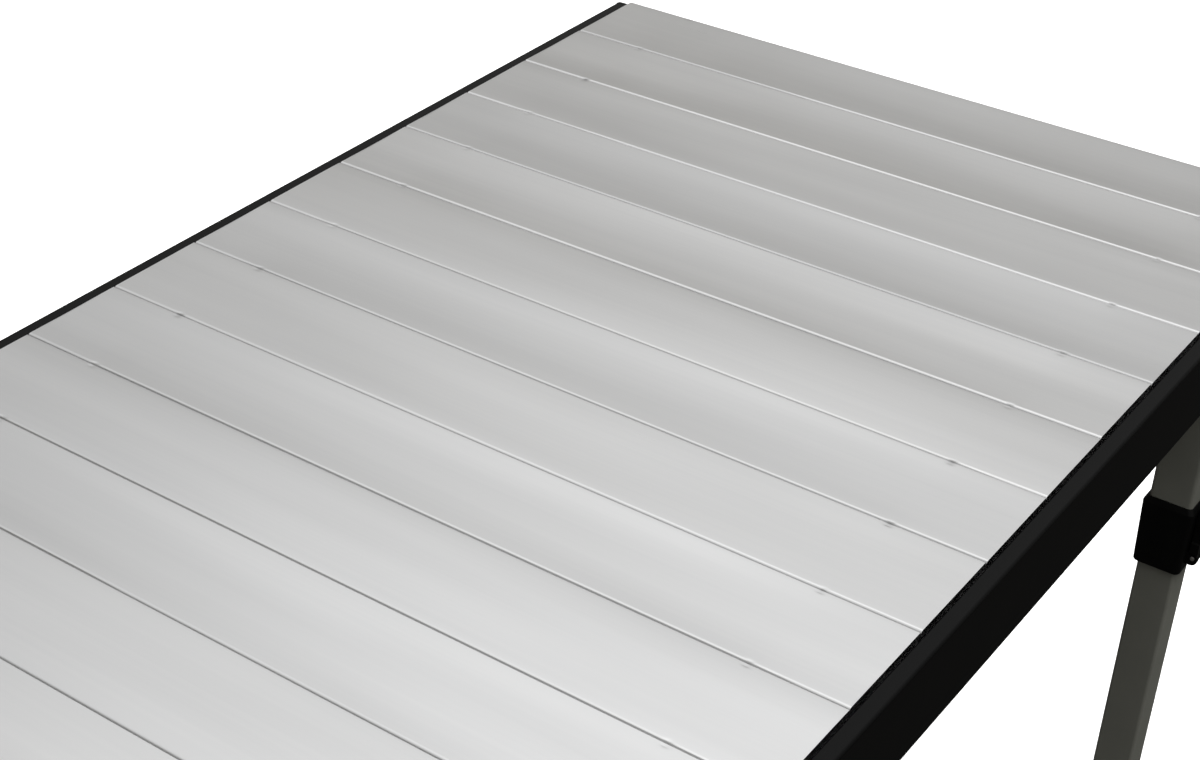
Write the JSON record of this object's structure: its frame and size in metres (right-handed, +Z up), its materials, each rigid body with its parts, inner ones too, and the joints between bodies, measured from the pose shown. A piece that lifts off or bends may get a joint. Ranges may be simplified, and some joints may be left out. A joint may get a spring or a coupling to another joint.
{
  "type": "folding table",
  "caption": "Folding camp table: slatted aluminium top that rolls up, black side rails, and inward-folding leg frames with telescoping, lever-clamped legs.",
  "frame": {"origin": "on the ground, under the middle of the table top", "axes": "+Z up, +Y along the table to its far end, +X across to its right side"},
  "size_m": [0.604, 1.2, 0.7],
  "materials": {
    "slat": "brushed, clear anodised, satin",
    "rail": "black powder coat, satin",
    "leg_tube": "warm dark grey paint, satin",
    "moulded_plastic": "black moulded nylon, fine texture",
    "pin_steel": "zinc plated",
    "elastic_cord": "braided elastic"
  },
  "bodies": {
    "root": {"slat_16": "slat", "right_elastic_cord": "elastic_cord", "left_elastic_cord": "elastic_cord", "right_rail": "rail", "left_rail": "rail", "right_slat_ledge": "rail", "left_slat_ledge": "rail", "right_rail_cap_far": "moulded_plastic", "right_rail_cap_near": "moulded_plastic", "left_rail_cap_far": "moulded_plastic", "left_rail_cap_near": "moulded_plastic", "far_cross_beam": "rail", "middle_cross_beam": "rail", "near_cross_beam": "rail", "far_right_hinge_bracket": "moulded_plastic", "far_right_pivot_pin": "pin_steel", "far_left_hinge_bracket": "moulded_plastic", "far_left_pivot_pin": "pin_steel", "near_right_hinge_bracket": "moulded_plastic", "near_right_pivot_pin": "pin_steel", "near_left_hinge_bracket": "moulded_plastic", "near_left_pivot_pin": "pin_steel"},
    "slat_15": {"slat_15": "slat"},
    "slat_14": {"slat_14": "slat"},
    "slat_13": {"slat_13": "slat"},
    "slat_12": {"slat_12": "slat"},
    "slat_11": {"slat_11": "slat"},
    "slat_10": {"slat_10": "slat"},
    "slat_09": {"slat_09": "slat"},
    "slat_08": {"slat_08": "slat"},
    "slat_07": {"slat_07": "slat"},
    "slat_06": {"slat_06": "slat"},
    "slat_05": {"slat_05": "slat"},
    "slat_04": {"slat_04": "slat"},
    "slat_03": {"slat_03": "slat"},
    "slat_02": {"slat_02": "slat"},
    "slat_01": {"slat_01": "slat"},
    "far_leg_frame": {"far_right_upper_leg": "leg_tube", "far_right_clamp_collar": "moulded_plastic", "far_left_upper_leg": "leg_tube", "far_left_clamp_collar": "moulded_plastic", "far_leg_crossbar": "leg_tube"},
    "near_leg_frame": {"near_right_upper_leg": "leg_tube", "near_right_clamp_collar": "moulded_plastic", "near_left_upper_leg": "leg_tube", "near_left_clamp_collar": "moulded_plastic", "near_leg_crossbar": "leg_tube"},
    "far_right_telescope": {"far_right_lower_leg": "leg_tube", "far_right_foot": "moulded_plastic"},
    "far_right_lever": {"far_right_clamp_lever": "moulded_plastic"},
    "far_left_telescope": {"far_left_lower_leg": "leg_tube", "far_left_foot": "moulded_plastic"},
    "far_left_lever": {"far_left_clamp_lever": "moulded_plastic"},
    "near_right_telescope": {"near_right_lower_leg": "leg_tube", "near_right_foot": "moulded_plastic"},
    "near_right_lever": {"near_right_clamp_lever": "moulded_plastic"},
    "near_left_telescope": {"near_left_lower_leg": "leg_tube", "near_left_foot": "moulded_plastic"},
    "near_left_lever": {"near_left_clamp_lever": "moulded_plastic"}
  },
  "joints": [
    {"name": "slat_15_roll", "type": "hinge", "parent": "root", "child": "slat_15", "pos_m": [0, -0.525, 0.7], "axis": [1, 0, 0], "range_deg": [0, 40.7], "deforming": ["right_elastic_cord", "left_elastic_cord"]},
    {"name": "slat_14_roll", "type": "hinge", "parent": "slat_15", "child": "slat_14", "pos_m": [0, -0.45, 0.7], "axis": [1, 0, 0], "range_deg": [0, 41.72]},
    {"name": "slat_13_roll", "type": "hinge", "parent": "slat_14", "child": "slat_13", "pos_m": [0, -0.375, 0.7], "axis": [1, 0, 0], "range_deg": [0, 42.82]},
    {"name": "slat_12_roll", "type": "hinge", "parent": "slat_13", "child": "slat_12", "pos_m": [0, -0.3, 0.7], "axis": [1, 0, 0], "range_deg": [0, 43.96]},
    {"name": "slat_11_roll", "type": "hinge", "parent": "slat_12", "child": "slat_11", "pos_m": [0, -0.225, 0.7], "axis": [1, 0, 0], "range_deg": [0, 45.26]},
    {"name": "slat_10_roll", "type": "hinge", "parent": "slat_11", "child": "slat_10", "pos_m": [0, -0.15, 0.7], "axis": [1, 0, 0], "range_deg": [0, 46.64]},
    {"name": "slat_09_roll", "type": "hinge", "parent": "slat_10", "child": "slat_09", "pos_m": [0, -0.075, 0.7], "axis": [1, 0, 0], "range_deg": [0, 48.15]},
    {"name": "slat_08_roll", "type": "hinge", "parent": "slat_09", "child": "slat_08", "pos_m": [0, 0, 0.7], "axis": [1, 0, 0], "range_deg": [0, 49.82]},
    {"name": "slat_07_roll", "type": "hinge", "parent": "slat_08", "child": "slat_07", "pos_m": [0, 0.075, 0.7], "axis": [1, 0, 0], "range_deg": [0, 51.69]},
    {"name": "slat_06_roll", "type": "hinge", "parent": "slat_07", "child": "slat_06", "pos_m": [0, 0.15, 0.7], "axis": [1, 0, 0], "range_deg": [0, 53.76]},
    {"name": "slat_05_roll", "type": "hinge", "parent": "slat_06", "child": "slat_05", "pos_m": [0, 0.225, 0.7], "axis": [1, 0, 0], "range_deg": [0, 56.08]},
    {"name": "slat_04_roll", "type": "hinge", "parent": "slat_05", "child": "slat_04", "pos_m": [0, 0.3, 0.7], "axis": [1, 0, 0], "range_deg": [0, 58.73]},
    {"name": "slat_03_roll", "type": "hinge", "parent": "slat_04", "child": "slat_03", "pos_m": [0, 0.375, 0.7], "axis": [1, 0, 0], "range_deg": [0, 61.78]},
    {"name": "slat_02_roll", "type": "hinge", "parent": "slat_03", "child": "slat_02", "pos_m": [0, 0.45, 0.7], "axis": [1, 0, 0], "range_deg": [0, 65.32]},
    {"name": "slat_01_roll", "type": "hinge", "parent": "slat_02", "child": "slat_01", "pos_m": [0, 0.525, 0.7], "axis": [1, 0, 0], "range_deg": [0, 69.52]},
    {"name": "far_legs_fold", "type": "hinge", "parent": "root", "child": "far_leg_frame", "pos_m": [0, 0.518, 0.659], "axis": [1, 0, 0], "range_deg": [-90, 0]},
    {"name": "near_legs_fold", "type": "hinge", "parent": "root", "child": "near_leg_frame", "pos_m": [0, -0.518, 0.659], "axis": [-1, 0, 0], "range_deg": [-90, 0]},
    {"name": "far_right_leg_slide", "type": "slide", "parent": "far_leg_frame", "child": "far_right_telescope", "axis": [0, 0, -1], "range_m": [-0.145, 0]},
    {"name": "far_right_clamp_lever", "type": "hinge", "parent": "far_leg_frame", "child": "far_right_lever", "pos_m": [0.2849, 0.518, 0.44], "axis": [0, 1, 0], "range_deg": [0, 80]},
    {"name": "far_left_leg_slide", "type": "slide", "parent": "far_leg_frame", "child": "far_left_telescope", "axis": [0, 0, -1], "range_m": [-0.145, 0]},
    {"name": "far_left_clamp_lever", "type": "hinge", "parent": "far_leg_frame", "child": "far_left_lever", "pos_m": [-0.2849, 0.518, 0.44], "axis": [0, -1, 0], "range_deg": [0, 80]},
    {"name": "near_right_leg_slide", "type": "slide", "parent": "near_leg_frame", "child": "near_right_telescope", "axis": [0, 0, -1], "range_m": [-0.145, 0]},
    {"name": "near_right_clamp_lever", "type": "hinge", "parent": "near_leg_frame", "child": "near_right_lever", "pos_m": [0.2849, -0.518, 0.44], "axis": [0, 1, 0], "range_deg": [0, 80]},
    {"name": "near_left_leg_slide", "type": "slide", "parent": "near_leg_frame", "child": "near_left_telescope", "axis": [0, 0, -1], "range_m": [-0.145, 0]},
    {"name": "near_left_clamp_lever", "type": "hinge", "parent": "near_leg_frame", "child": "near_left_lever", "pos_m": [-0.2849, -0.518, 0.44], "axis": [0, -1, 0], "range_deg": [0, 80]}
  ]
}
